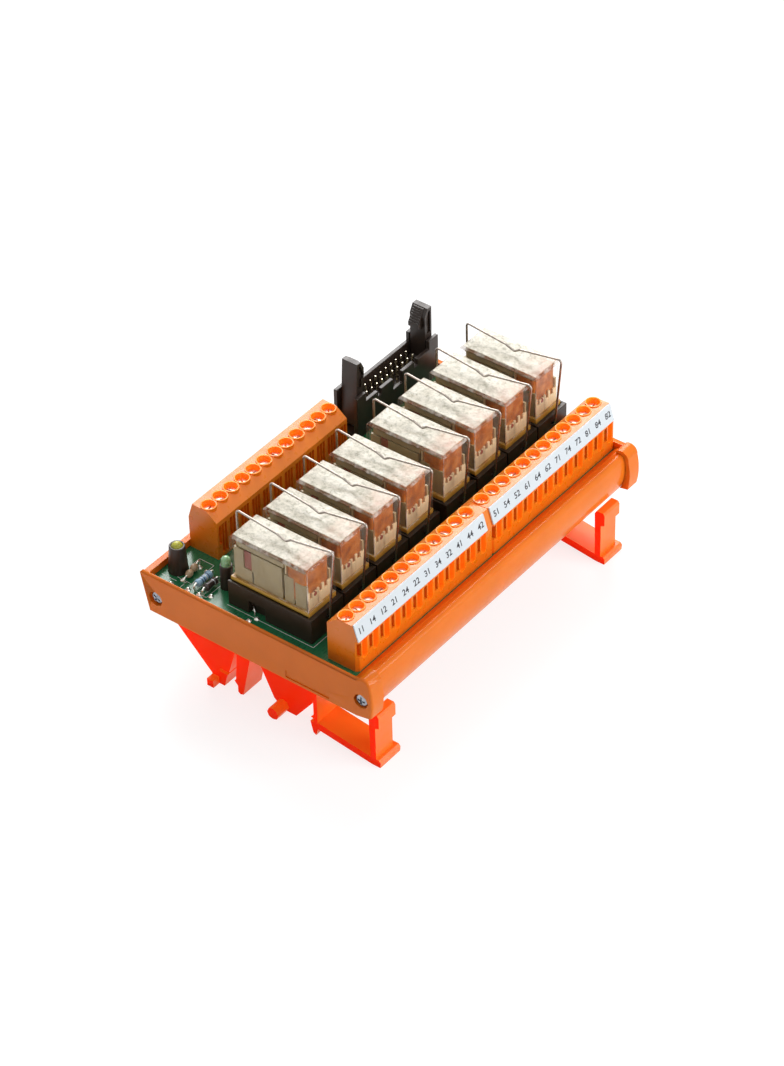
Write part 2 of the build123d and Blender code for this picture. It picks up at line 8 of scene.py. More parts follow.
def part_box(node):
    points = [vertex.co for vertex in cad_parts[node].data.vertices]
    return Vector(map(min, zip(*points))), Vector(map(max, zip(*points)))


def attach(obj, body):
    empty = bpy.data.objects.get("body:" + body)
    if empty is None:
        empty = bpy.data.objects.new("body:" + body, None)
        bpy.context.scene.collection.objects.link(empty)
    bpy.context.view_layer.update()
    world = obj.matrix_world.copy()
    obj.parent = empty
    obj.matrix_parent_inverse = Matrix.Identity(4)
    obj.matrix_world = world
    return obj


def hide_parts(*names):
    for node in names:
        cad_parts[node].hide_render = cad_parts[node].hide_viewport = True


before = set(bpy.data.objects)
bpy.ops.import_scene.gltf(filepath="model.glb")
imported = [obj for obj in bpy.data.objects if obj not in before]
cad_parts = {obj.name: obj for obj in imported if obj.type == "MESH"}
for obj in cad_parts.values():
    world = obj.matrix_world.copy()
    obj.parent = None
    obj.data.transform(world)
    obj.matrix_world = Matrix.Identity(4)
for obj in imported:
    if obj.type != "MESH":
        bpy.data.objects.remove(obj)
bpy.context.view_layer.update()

# Sizes are in millimetres and become metres when a mesh is made.
MM = 0.001
RELAYS = range(1, 9)


def millimetres(node):
    """A node's box as two corners in millimetres."""
    low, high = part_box(node)
    return low / MM, high / MM


def middle_of(node, height=0.0):
    """The middle of a node's box, at a height over the board."""
    low, high = millimetres(node)
    return Vector(((low.x + high.x) / 2, (low.y + high.y) / 2, board_top + height))


board_top = millimetres("circuit_board")[1].z
pole_pitch = 5.08
pole_count = 12
round_sides = 32

# Carrier, in the frame's own y and z
lip_edge = -34.2
lip_hook = -37.3
plate_outer = 65.5
plate_screw_places = ((-38.3, 26.2), (36.9, 25.6))
screw_clearance = 3.2
label_low = (-27.0, 20.9)
label_high = (-11.0, 23.7)
rim_width = 1.3
nose_back = -36.5

# Terminal blocks, about the screw line with the wire side to -y
block_front = 5.8
block_back = 4.9
block_sill = 11.3
block_crown = 16.8
block_shoulder = 13.6
crown_front = 4.1
crown_back = (1.2, 16.45)
collar_radius = 2.48
collar_top = 16.9
well_radius = 2.1
well_floor = 3.5
entry_width = 2.3
entry_top = 11.1
entry_low = 3.7
entry_shift = 0.85
block_corner = 0.9
slot_size = (1.35, 4.2)
slot_heights = (5.4, 10.3)
slot_shift = -1.5
back_grooves = ((-1.45, 0.5, 1.2), (-0.2, 0.5, 1.2), (1.15, 0.62, 5.0))
block_filler = 2.3
screw_radius = 1.9
screw_top = 15.2
screw_height = 1.9

# Relays, about the middle of the seat
relay_half = (6.25, 14.2)
seat_height = 8.2
cover_height = 16.9

# The header, about its middle on the board
latch_pivot = (17.4, 4.3)
near_latch_lean = 4.0


# Mesh tools

def spread(points, axis, depth):
    """Outline points placed in space, with the third value along the axis."""
    order = {
        "x": lambda a, b: (depth, a, b),
        "y": lambda a, b: (a, depth, b),
        "z": lambda a, b: (a, b, depth),
    }
    return [order[axis](a, b) for a, b in points]


def extrude(bm, points, axis, low, high):
    """A closed bar with the outline's section, from low to high along the axis."""
    first, last = [[bm.verts.new(place) for place in spread(points, axis, depth)] for depth in (low, high)]
    bm.faces.new(first)
    bm.faces.new(list(reversed(last)))
    count = len(points)
    for index in range(count):
        step = (index + 1) % count
        bm.faces.new((first[index], last[index], last[step], first[step]))


def box(bm, xs, ys, zs):
    """A block between two values along each axis."""
    extrude(bm, [(xs[0], ys[0]), (xs[1], ys[0]), (xs[1], ys[1]), (xs[0], ys[1])], "z", *zs)


def ring(radius, centre=(0, 0), sides=round_sides):
    """Points of a circle."""
    turns = [2 * math.pi * index / sides for index in range(sides)]
    return [(centre[0] + radius * math.cos(turn), centre[1] + radius * math.sin(turn)) for turn in turns]


def rounded(low, high, radius, steps=5):
    """A rectangle with round corners, from its low corner to its high one."""
    points = []
    corners = ((high[0], high[1], 0), (low[0], high[1], 1), (low[0], low[1], 2), (high[0], low[1], 3))
    for x, y, quarter in corners:
        centre_x = x - radius if quarter in (0, 3) else x + radius
        centre_y = y - radius if quarter in (0, 1) else y + radius
        for step in range(steps + 1):
            turn = math.pi / 2 * (quarter + step / steps)
            points.append((centre_x + radius * math.cos(turn), centre_y + radius * math.sin(turn)))
    return points


def lathe(bm, profile, centre=(0, 0, 0), axis="z", sides=round_sides):
    """A turned shape from (radius, height) points; a radius of 0 closes an end."""
    rings = []
    for radius, height in profile:
        if radius == 0:
            rings.append([bm.verts.new(spread([(0, 0)], axis, height)[0])])
        else:
            rings.append([bm.verts.new(place) for place in spread(ring(radius, sides=sides), axis, height)])
    made = [vert for group in rings for vert in group]
    for below, above in zip(rings, rings[1:]):
        for index in range(sides):
            step = (index + 1) % sides
            around = [below[index % len(below)], below[step % len(below)]]
            around += [above[step % len(above)], above[index % len(above)]]
            corners = list(dict.fromkeys(around))
            if len(corners) > 2:
                bm.faces.new(corners)
    for group in (rings[0], rings[-1]):
        if len(group) > 1:
            bm.faces.new(group)
    bmesh.ops.translate(bm, verts=made, vec=centre)
    return made


def filleted(points, radius, steps=6):
    """A path in a plane whose corners are rounded; each corner's run limits its radius."""
    path = [Vector(points[0])]
    for before, corner, after in zip(points, points[1:], points[2:]):
        before, corner, after = Vector(before), Vector(corner), Vector(after)
        into = (before - corner).normalized()
        out = (after - corner).normalized()
        half = into.angle(out) / 2
        reach = min(radius / math.tan(half), (before - corner).length / 2, (after - corner).length / 2)
        size = reach * math.tan(half)
        centre = corner + (into + out).normalized() * (size / math.sin(half))
        start = corner + into * reach - centre
        end = corner + out * reach - centre
        for step in range(steps + 1):
            path.append(centre + start.slerp(end, step / steps, start))
    path.append(Vector(points[-1]))
    return path


def tube(bm, path, radius, sides=12):
    """Round wire along a path."""
    rings = []
    side = None
    for index, place in enumerate(path):
        before = path[max(index - 1, 0)]
        after = path[min(index + 1, len(path) - 1)]
        along = (after - before).normalized()
        if side is None:
            side = along.orthogonal().normalized()
        side = (side - along * side.dot(along)).normalized()
        up = along.cross(side)
        rings.append([bm.verts.new(place + side * a + up * b) for a, b in ring(radius, sides=sides)])
    for below, above in zip(rings, rings[1:]):
        for index in range(sides):
            step = (index + 1) % sides
            bm.faces.new((below[index], below[step], above[step], above[index]))
    bm.faces.new(rings[0])
    bm.faces.new(rings[-1])


def make_object(bm, name):
    """An object in the scene from mesh data in millimetres, which is then freed."""
    bmesh.ops.recalc_face_normals(bm, faces=bm.faces)
    mesh = bpy.data.meshes.new(name)
    bm.to_mesh(mesh)
    bm.free()
    mesh.transform(Matrix.Scale(MM, 4))
    return show(name, mesh)


def show(name, data):
    """Put a mesh, a lamp, a camera or a text in the scene."""
    shown = bpy.data.objects.new(name, data)
    bpy.context.scene.collection.objects.link(shown)
    return shown


def settle(piece):
    """Apply the modifiers of a piece to its mesh."""
    graph = bpy.context.evaluated_depsgraph_get()
    shaped = piece.evaluated_get(graph)
    mesh = bpy.data.meshes.new_from_object(shaped, preserve_all_data_layers=True, depsgraph=graph)
    piece.modifiers.clear()
    piece.data = mesh


def combine(piece, bm, operation):
    """Join a second solid to a piece or cut it out of it."""
    other = make_object(bm, "other")
    modifier = piece.modifiers.new("solid", "BOOLEAN")
    modifier.operation = operation
    modifier.solver = "EXACT"
    modifier.object = other
    settle(piece)
    bpy.data.objects.remove(other)


def crossed(edge, reach):
    """True if a short edge leaves one of the edge's ends sideways, where a bevel would have no room."""
    along = (edge.verts[1].co - edge.verts[0].co).normalized()
    for vert in edge.verts:
        for other in vert.link_edges:
            if other is not edge and other.calc_length() < reach:
                way = (other.other_vert(vert).co - vert.co).normalized()
                if abs(way.dot(along)) < 0.75:
                    return True
    return False


def round_edges(piece, width, angle=35, segments=2, share=None):
    """Bevel the sharp edges, each with its own share of the width."""
    bm = bmesh.new()
    bm.from_mesh(piece.data)
    layers = bm.edges.layers.float
    weights = layers.get("bevel_weight_edge") or layers.new("bevel_weight_edge")
    for edge in bm.edges:
        sharp = len(edge.link_faces) == 2 and edge.calc_face_angle() > math.radians(angle)
        room = sharp and edge.calc_length() > 2e-5 and not crossed(edge, 1.2 * width * MM)
        edge[weights] = (share(edge) if share else 1.0) if room else 0.0
    bm.to_mesh(piece.data)
    bm.free()
    bevel = piece.modifiers.new("edges", "BEVEL")
    bevel.width = width * MM
    bevel.segments = segments
    bevel.limit_method = "WEIGHT"
    bevel.use_clamp_overlap = True
    settle(piece)


def polish(piece, width, angle=35, segments=2):
    """Round the sharp edges and smooth the shading, with broad faces shaded flat."""
    round_edges(piece, width, angle, segments)
    smooth(piece)
    weighted = piece.modifiers.new("shading", "WEIGHTED_NORMAL")
    weighted.keep_sharp = True
    weighted.weight = 90
    settle(piece)
    mesh = piece.data
    normals = [corner.vector.copy() for corner in mesh.corner_normals]
    for face in mesh.polygons:
        if is_broad(mesh, face):
            for corner in face.loop_indices:
                normals[corner] = face.normal
    mesh.normals_split_custom_set(normals)
    return piece


def is_broad(mesh, face):
    """True for a face with a mean width over 3 mm."""
    corners = [mesh.vertices[index].co for index in face.vertices]
    spans = [[corner[axis] for corner in corners] for axis in range(3)]
    reach = max(max(span) - min(span) for span in spans)
    return face.area > 3 * MM * reach


def smooth(piece, angle=40):
    """Shade a mesh smooth except at sharp edges."""
    for face in piece.data.polygons:
        face.use_smooth = True
    piece.data.set_sharp_from_angle(angle=math.radians(angle))
    return piece


def outline_copy(node, name):
    """A copy of a CAD node's surface as flat many-sided faces."""
    bm = bmesh.new()
    bm.from_mesh(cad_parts[node].data)
    bmesh.ops.remove_doubles(bm, verts=bm.verts, dist=2e-6)
    flat = math.radians(1)
    bmesh.ops.dissolve_limit(bm, angle_limit=flat, verts=bm.verts, edges=bm.edges, delimit=set())
    bmesh.ops.recalc_face_normals(bm, faces=bm.faces)
    mesh = bpy.data.meshes.new(name)
    bm.to_mesh(mesh)
    bm.free()
    return show(name, mesh)


def finish_piece(piece, materials, nodes=(), body="root"):
    """Give a piece its materials, its body and the nodes that it stands for."""
    for material in materials:
        piece.data.materials.append(material)
    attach(piece, body)
    if nodes:
        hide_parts(*nodes)


def from_cad(node, name, slot, materials, *rounding):
    """A CAD node's own shape with rounded edges, finished as a piece."""
    piece = polish(outline_copy(node, name), *rounding)
    finish_piece(piece, materials, [node])
    return piece


def place(piece, x, y, z, turn=0.0):
    """Move a piece that was made about its own middle."""
    spin = Matrix.Rotation(math.radians(turn), 4, "Z")
    piece.matrix_world = Matrix.Translation(Vector((x, y, z)) * MM) @ spin
    return piece


def repeat(piece, matrices):
    """Replace a piece's mesh by copies of it, placed by matrices."""
    bm = bmesh.new()
    for matrix in matrices:
        start = len(bm.verts)
        bm.from_mesh(piece.data)
        bm.verts.ensure_lookup_table()
        in_metres = Matrix.Translation(matrix.translation * MM) @ matrix.to_3x3().to_4x4()
        bmesh.ops.transform(bm, matrix=in_metres, verts=bm.verts[start:])
    mesh = bpy.data.meshes.new(piece.name)
    bm.to_mesh(mesh)
    bm.free()
    piece.data = mesh
    smooth(piece)


# Materials

class Surface:
    """A Principled material and the few nodes that vary it."""

    def __init__(self, name, colour, roughness=0.4, **sockets):
        self.material = bpy.data.materials.new(name)
        self.material.use_nodes = True
        tree = self.material.node_tree
        self.node = tree.nodes.new
        self.join = tree.links.new
        self.shader = tree.nodes["Principled BSDF"]
        self.set("Base Color", (*colour, 1))
        self.set("Roughness", roughness)
        for socket, value in sockets.items():
            self.set(socket.replace("_", " "), value)
        self.coordinates = self.node("ShaderNodeTexCoord").outputs["Object"]

    def set(self, socket, value):
        """Give a socket one value."""
        self.shader.inputs[socket].default_value = value

    def link(self, output, socket):
        """Drive a socket from a node."""
        self.join(output, self.shader.inputs[socket])

    def noise(self, scale, detail=3.0, stretch=None, roughness=0.5):
        """Noise with a pattern size of about 1 / scale metres."""
        node = self.node("ShaderNodeTexNoise")
        node.inputs["Scale"].default_value = scale
        node.inputs["Detail"].default_value = detail
        node.inputs["Roughness"].default_value = roughness
        source = self.coordinates
        if stretch:
            mapping = self.node("ShaderNodeMapping")
            mapping.inputs["Scale"].default_value = stretch
            self.join(source, mapping.inputs["Vector"])
            source = mapping.outputs["Vector"]
        self.join(source, node.inputs["Vector"])
        return node.outputs["Fac"]

    def ramp(self, factor, stops):
        """Colours along a factor, as (place, colour)."""
        node = self.node("ShaderNodeValToRGB")
        elements = node.color_ramp.elements
        while len(elements) < len(stops):
            elements.new(0.5)
        for element, (position, colour) in zip(elements, stops):
            element.position = position
            element.color = (*colour, 1)
        self.join(factor, node.inputs["Fac"])
        return node.outputs["Color"]

    def stretch(self, value, start, end, low=0.0, high=1.0):
        """A value from start to end stretched to reach from low to high."""
        node = self.node("ShaderNodeMapRange")
        ranges = {"From Min": start, "From Max": end, "To Min": low, "To Max": high}
        for socket, limit in ranges.items():
            node.inputs[socket].default_value = limit
        self.join(value, node.inputs["Value"])
        return node.outputs["Result"]

    def span(self, factor, low, high):
        """The middle of a noise stretched to a range of values."""
        return self.stretch(factor, 0.3, 0.7, low, high)

    def along(self, axis, start, end):
        """A value from 0 to 1 between two places on an axis, given in millimetres."""
        parts = self.node("ShaderNodeSeparateXYZ")
        self.join(self.coordinates, parts.inputs["Vector"])
        return self.stretch(parts.outputs[axis], start * MM, end * MM)

    def product(self, first, second):
        """Two factors multiplied."""
        node = self.node("ShaderNodeMath")
        node.operation = "MULTIPLY"
        self.join(first, node.inputs[0])
        self.join(second, node.inputs[1])
        return node.outputs[0]

    def tint(self, factor, tones):
        """Colour the surface by a ramp."""
        self.link(self.ramp(factor, tones), "Base Color")

    def vary(self, socket, factor, low, high):
        """Vary a socket between two values."""
        self.link(self.span(factor, low, high), socket)

    def bump(self, height, strength, distance):
        """Fine relief with a depth in millimetres."""
        node = self.node("ShaderNodeBump")
        node.inputs["Strength"].default_value = strength
        node.inputs["Distance"].default_value = distance * MM
        self.join(height, node.inputs["Height"])
        self.link(node.outputs["Normal"], "Normal")


def shade(colour, factor):
    """A colour made lighter or darker."""
    return tuple(min(1.0, part * factor) for part in colour)


def moulded(
    name, colour, roughness=0.38, contrast=0.06, shine=0.5, glaze=0.0,
    glow=0.0, glow_colour=(1.0, 0.22, 0.05), painted_emission=0.0,
):
    """Moulded plastic with slight flow marks, satin grain and an uneven gloss.

    Glaze is a clear coat, glow is light scattered inside, and the emission is a painted glow, standing in for
    light that thin parts let through.
    """
    surface = Surface(name, colour, roughness, IOR=1.5, Specular_IOR_Level=shine)
    if glaze:
        surface.set("Coat Weight", glaze)
        surface.set("Coat Roughness", 0.12)
    flow = surface.noise(90, detail=4)
    tones = [(0.3, shade(colour, 1 - contrast)), (0.7, shade(colour, 1 + contrast * 0.6))]
    surface.tint(flow, tones)
    surface.vary("Roughness", surface.noise(400), roughness - 0.06, roughness + 0.08)
    surface.bump(surface.noise(900, detail=2), 0.05, 0.02)
    if glow:
        surface.set("Subsurface Weight", glow)
        surface.set("Subsurface Radius", glow_colour)
        surface.set("Subsurface Scale", 3.0 * MM)
    # Painted glow: the surface gives off its own colour as light.
    if painted_emission:
        surface.set("Emission Color", (*colour, 1))
        surface.set("Emission Strength", painted_emission)
    return surface.material


def metal(name, colour, roughness=0.3):
    """Plated metal with faint stains and an uneven roughness."""
    surface = Surface(name, colour, roughness, Metallic=1.0)
    stains = surface.noise(700, detail=4)
    tones = [(0.35, shade(colour, 0.75)), (0.65, shade(colour, 1.1))]
    surface.tint(stains, tones)
    surface.vary("Roughness", surface.noise(1500), roughness - 0.08, roughness + 0.12)
    return surface.material


def solder_mask():
    """The green mask over copper traces, with its gloss and slight ripple."""
    green, trace = (0.010, 0.120, 0.045), (0.022, 0.190, 0.075)
    surface = Surface("board_green", green, 0.22, IOR=1.5)
    cells = surface.node("ShaderNodeTexBrick")
    cells.inputs["Scale"].default_value = 260
    cells.inputs["Color1"].default_value = (*green, 1)
    cells.inputs["Color2"].default_value = (*trace, 1)
    cells.inputs["Mortar"].default_value = (*trace, 1)
    cells.inputs["Mortar Size"].default_value = 0.08
    cells.offset = 0.35
    surface.join(surface.coordinates, cells.inputs["Vector"])
    surface.link(cells.outputs["Color"], "Base Color")
    surface.vary("Roughness", surface.noise(150), 0.16, 0.3)
    surface.bump(surface.noise(500), 0.2, 0.05)
    return surface.material


def clear_plastic():
    """The relay cover's clear sides, amber where they meet the base."""
    surface = Surface("cover_clear", (0.92, 0.86, 0.76), 0.08, IOR=1.46, Specular_IOR_Level=0.3)
    seat = board_top + seat_height
    tones = [(0.0, (0.78, 0.42, 0.08)), (0.6, (0.90, 0.82, 0.68))]
    surface.tint(surface.along("Z", seat, seat + 5), tones)
    surface.vary("Alpha", surface.noise(350, detail=5), 0.01, 0.07)
    surface.vary("Roughness", surface.noise(300), 0.04, 0.14)
    return surface.material


def cover_edges():
    """The cover's rounded edges, with painted highlights: whiter and less clear than the sides, dashed by
    dark brown patches.
    """
    surface = Surface("cover_edge_painted_highlight", (0.86, 0.80, 0.72), 0.1, IOR=1.46)
    surface.vary("Alpha", surface.noise(700, detail=4), 0.2, 0.7)
    tones = [(0.44, (0.36, 0.15, 0.08)), (0.60, (0.90, 0.82, 0.74))]
    surface.tint(surface.noise(260), tones)
    return surface.material


def hazy_plastic():
    """The cover's top: milky, with soft grey and brown mottling, and a painted copper glow of the winding in
    front.
    """
    surface = Surface("cover_hazy", (0.64, 0.60, 0.52), 0.32, IOR=1.46)
    flecks = surface.noise(620, detail=9, stretch=(1.0, 0.8, 1.0), roughness=0.85)
    tones = [(0.38, (0.24, 0.22, 0.14)), (0.46, (0.50, 0.46, 0.35)), (0.55, (0.70, 0.65, 0.53))]
    milky = surface.ramp(flecks, tones)
    patches = surface.span(surface.noise(330, detail=5), 0.0, 0.9)
    # Painted light: toward the front the top turns copper in patches, for the winding seen through it.
    painted_copper_amount = surface.product(surface.along("Y", -4, -15), patches)
    tint = surface.node("ShaderNodeMix")
    tint.data_type = "RGBA"
    tint.inputs["B"].default_value = (0.50, 0.24, 0.15, 1)
    surface.join(painted_copper_amount, tint.inputs["Factor"])
    surface.join(milky, tint.inputs["A"])
    surface.link(tint.outputs["Result"], "Base Color")
    surface.vary("Alpha", surface.noise(260, detail=4), 0.78, 0.95)
    surface.vary("Roughness", surface.noise(240), 0.2, 0.45)
    surface.bump(surface.noise(800), 0.15, 0.05)
    return surface.material


def winding():
    """Enamelled copper wire laid in even turns, with painted glints along the turns."""
    surface = Surface("coil_copper", (0.52, 0.17, 0.045), 0.30, Metallic=0.2)
    wave = surface.node("ShaderNodeTexWave")
    wave.bands_direction = "Z"
    wave.inputs["Scale"].default_value = 900
    wave.inputs["Distortion"].default_value = 0.6
    surface.join(surface.coordinates, wave.inputs["Vector"])
    # Painted glints: bright bands along the turns, dark between them and in patches.
    painted_glint = surface.product(wave.outputs["Fac"], surface.span(surface.noise(330, detail=4), 0.1, 1.1))
    tones = [(0.05, (0.34, 0.075, 0.008)), (0.5, (0.74, 0.22, 0.02)), (0.95, (1.0, 0.46, 0.12))]
    surface.tint(painted_glint, tones)
    surface.bump(wave.outputs["Fac"], 0.6, 0.06)
    return surface.material


def lens(name, colour):
    """Tinted lamp plastic."""
    surface = Surface(name, colour, 0.18, IOR=1.5, Transmission_Weight=0.25, Alpha=0.9)
    tones = [(0.35, shade(colour, 0.8)), (0.7, shade(colour, 1.2))]
    surface.tint(surface.noise(900), tones)
    surface.set("Subsurface Weight", 0.3)
    surface.set("Subsurface Radius", (1.0, 1.0, 0.4))
    surface.set("Subsurface Scale", 1.0 * MM)
    return surface.material


def ink(name, colour):
    """Printed marks with a slightly worn tone."""
    surface = Surface(name, colour, 0.5)
    tones = [(0.3, shade(colour, 0.8)), (0.6, colour)]
    surface.tint(surface.noise(1200, detail=5), tones)
    return surface.material


orange_shell = moulded("orange_shell", (0.84, 0.19, 0.012), 0.36, glow=0.15, shine=0.05, glaze=0.32)
orange_block = moulded("orange_block", (0.88, 0.22, 0.009), 0.30, glow=0.12, shine=0.42)
# A brighter copy of the block's orange with a painted glow, for the insides of the wells and wire entries:
# painted light in the recesses.
orange_well_painted_bright = moulded(
    "orange_well_painted_bright", (1.0, 0.22, 0.008), 0.34, glow=0.6, glow_colour=(3.0, 0.5, 0.05), shine=0.2, painted_emission=0.3,
)
# The feet carry a painted glow; the webs take a redder copy whose colour and glow are painted light shining
# through them.
orange_foot = moulded(
    "orange_foot", (0.98, 0.17, 0.014), 0.34, glow=0.5, glow_colour=(1.0, 0.1, 0.02), shine=0.35, painted_emission=0.18,
)
orange_web_painted_glow = moulded(
    "orange_web_painted_glow", (1.0, 0.03, 0.004), 0.40, glow=1.0, glow_colour=(6.0, 0.2, 0.02), shine=0.05, painted_emission=0.32,
)
black_plastic = moulded("black_plastic", (0.042, 0.028, 0.022), 0.34, 0.2, shine=0.35)
socket_black = moulded("socket_black", (0.036, 0.023, 0.014), 0.36, 0.2, shine=0.3)
relay_khaki = moulded("relay_khaki", (0.44, 0.34, 0.17), 0.4, 0.15)
relay_white = moulded("relay_white", (0.86, 0.70, 0.42), 0.4, 0.2)
relay_red = moulded("relay_red", (0.34, 0.07, 0.035), 0.4, 0.1)
relay_amber = moulded("relay_amber", (0.66, 0.38, 0.06), 0.35, 0.15)
white_strip = moulded("white_strip", (0.70, 0.76, 0.80), 0.42, 0.03, shine=0.3)
steel = metal("steel", (0.82, 0.79, 0.76), 0.42)
dark_steel = metal("dark_steel", (0.36, 0.38, 0.42), 0.22)
bail_steel = metal("bail_steel", (0.40, 0.35, 0.31), 0.30)
tin = metal("tin", (0.88, 0.86, 0.80), 0.34)
pin_metal = metal("pin_metal", (0.88, 0.80, 0.62), 0.25)
board_green = solder_mask()
cover_clear = clear_plastic()
cover_edge_painted_highlight = cover_edges()
cover_hazy = hazy_plastic()
coil_copper = winding()
yellow_lens = lens("yellow_lens", (0.74, 0.70, 0.06))
green_lens = lens("green_lens", (0.46, 0.80, 0.46))
blue_body = moulded("blue_body", (0.36, 0.58, 0.78), 0.25)
band_dark = moulded("band_dark", (0.06, 0.10, 0.20), 0.25)
band_pale = moulded("band_pale", (0.74, 0.78, 0.80), 0.25)
black_body = moulded("black_body", (0.05, 0.03, 0.025), 0.28, 0.2)
tan_body = moulded("tan_body", (0.50, 0.34, 0.20), 0.3, 0.2)
number_ink = ink("number_ink", (0.025, 0.025, 0.035))
board_ink = ink("board_ink", (0.78, 0.82, 0.78))


# Carrier

def label_field():
    """What cuts the shallow bare field into the near end plate's outer face."""
    bm = bmesh.new()
    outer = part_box("end_plate_near")[0].x / MM
    extrude(bm, rounded(label_low, label_high, 0.6), "x", outer - 1, outer + 0.35)
    return bm


def rim_share(edge):
    """An edge's share of the rounding of an end plate's outline: most over the nose, none at the holes."""
    ends = [vert.co / MM for vert in edge.verts]
    outer = all(abs(end.x) > plate_outer for end in ends)
    holes = [Vector(spot) for spot in plate_screw_places]
    clear = all((end.yz - hole).length > screw_clearance for end in ends for hole in holes)
    field = all(
        label_low[0] - 0.2 < end.y < label_high[0] + 0.2 and label_low[1] - 0.1 < end.z < label_high[1] + 0.1
        for end in ends
    )
    if not outer or not clear or field:
        return 0.0
    return 1.0 if all(end.y < nose_back for end in ends) else 0.4


def carrier():
    """The trough, its end plates and the feet, with softened edges."""
    profile = outline_copy("carrier_profile", "trough")
    lip = bmesh.new()
    low, high = millimetres("carrier_profile")
    slope = [(lip_hook, 0.04), (lip_edge, 0.04), (lip_edge, 0.25), (lip_hook + 0.6, 2.0), (lip_hook, 2.0)]
    extrude(lip, [(y, board_top + z) for y, z in slope], "x", low.x, high.x)
    combine(profile, lip, "UNION")
    polish(profile, 0.2, 25, 3)
    finish_piece(profile, [orange_shell], ["carrier_profile"])
    for end in ("near", "far"):
        plate = outline_copy(f"end_plate_{end}", f"plate_{end}")
        if end == "near":
            combine(plate, label_field(), "DIFFERENCE")
        round_edges(plate, rim_width, 25, 5, rim_share)
        polish(plate, 0.15, 35, 2)
        finish_piece(plate, [orange_shell], [f"end_plate_{end}"])
        tones = [orange_foot, orange_web_painted_glow]
        foot = from_cad(f"rail_foot_{end}", f"foot_{end}", "orange_foot", tones, 0.25, 25)
        # Faces whose normal runs along the rail take the web copy with its painted glow.
        for face in foot.data.polygons:
            face.material_index = 1 if abs(face.normal.x) > 0.7 else 0


def plate_screws():
    """Pan heads with a cross recess, one in each corner of the end plates."""
    low, high = millimetres("end_plate_screws")
    radius = 2.2
    bm = bmesh.new()
    lathe(bm, [(0, -9), (1.1, -9), (1.1, -1), (2.1, -1), (2.1, -0.75), (1.6, -0.45), (0, -0.35)])
    screw = make_object(bm, "plate_screws")
    for half_x, half_y in ((1.35, 0.3), (0.3, 1.35)):
        recess = bmesh.new()
        box(recess, (-half_x, half_x), (-half_y, half_y), (-0.95, 1))
        combine(screw, recess, "DIFFERENCE")
    polish(screw, 0.08)
    places = []
    ys = (low.y + radius, high.y - radius)
    zs = (high.z - radius, low.z + radius)
    for side, x in ((-1, low.x), (1, high.x)):
        for y, z in zip(ys, zs):
            turn = Matrix.Rotation(side * math.pi / 2, 4, "Y") @ Matrix.Rotation(0.4 + y, 4, "Z")
            places.append(Matrix.Translation((x, y, z)) @ turn)
    repeat(screw, places)
    finish_piece(screw, [dark_steel], ["end_plate_screws"])


# Terminals

def entry_outline(x):
    """A wire entry with a round bottom."""
    half = entry_width / 2
    low = entry_low + half
    turns = [math.pi * step / 12 for step in range(13)]
    arc = [(x + half * math.cos(turn), low - half * math.sin(turn)) for turn in turns]
    return [(x - half, entry_top), (x + half, entry_top), *arc]


def block_mesh(filler=0.0):
    """One twelve-pole housing: round wells with collars, wire entries, test slots and ribs behind.

    The filler is a length of plain section that closes the gap to the next housing.
    """
    length = pole_pitch * pole_count
    section = [
        (-block_front, 0), (-block_front, block_sill), (-crown_front, block_crown), crown_back,
        (block_back, block_shoulder), (block_back, 0),
    ]
    body = bmesh.new()
    extrude(body, section, "x", 0, length + filler)
    block = make_object(body, "block")
    corner = bmesh.new()
    reach = block_corner + 1
    wedge = [(-1, -block_front - 1), (reach, -block_front - 1), (-1, reach - block_front)]
    extrude(corner, wedge, "z", -1, block_sill)
    combine(block, corner, "DIFFERENCE")
    collars = bmesh.new()
    cuts = bmesh.new()
    for pole in range(pole_count):
        x = pole_pitch * (pole + 0.5)
        extrude(collars, ring(collar_radius, (x, 0)), "z", 11.5, collar_top)
        extrude(cuts, ring(well_radius, (x, 0)), "z", well_floor, collar_top + 1)
        slot_xs = (x + slot_shift - slot_size[0] / 2, x + slot_shift + slot_size[0] / 2)
        box(cuts, slot_xs, (-block_front - 1, slot_size[1] - block_front), slot_heights)
    combine(block, collars, "UNION")
    combine(block, cuts, "DIFFERENCE")
    entries = bmesh.new()
    for pole in range(pole_count):
        extrude(entries, entry_outline(pole_pitch * (pole + 0.5) + entry_shift), "y", -block_front - 1, -1.14)
    combine(block, entries, "DIFFERENCE")
    grooves = bmesh.new()
    for pole in range(pole_count):
        for shift, half, low in back_grooves:
            x = pole_pitch * (pole + 0.5) + shift
            box(grooves, (x - half, x + half), (block_back - 0.9, block_back + 1), (low, 12.0))
    combine(block, grooves, "DIFFERENCE")
    polish(block, 0.12, 35, 2)
    mesh = block.data
    # Faces in the wells and wire entries take the second material, whose brightness and glow are painted
    # light.
    for face in mesh.polygons:
        x, y, z = face.center / MM
        across = x % pole_pitch - pole_pitch / 2
        in_well = Vector((across, y)).length < well_radius + 0.05 and z > well_floor + 0.5
        beside_entry = abs(across - entry_shift) < entry_width / 2 + 0.05
        in_entry = beside_entry and -block_front + 0.3 < y < -1.0 and z < entry_top + 0.1
        face.material_index = 1 if in_well or in_entry else 0
    bpy.data.objects.remove(block)
    return mesh


def terminal_rows():
    """The three blocks as (node, start x, screw line y, turn)."""
    rows = []
    for name, turn in (("output_block_near", 0), ("output_block_far", 0), ("input_block", 180)):
        low, high = millimetres(name)
        start, line = (high.x, high.y - block_front) if turn else (low.x, low.y + block_front)
        rows.append((name, start, line, turn))
    return rows


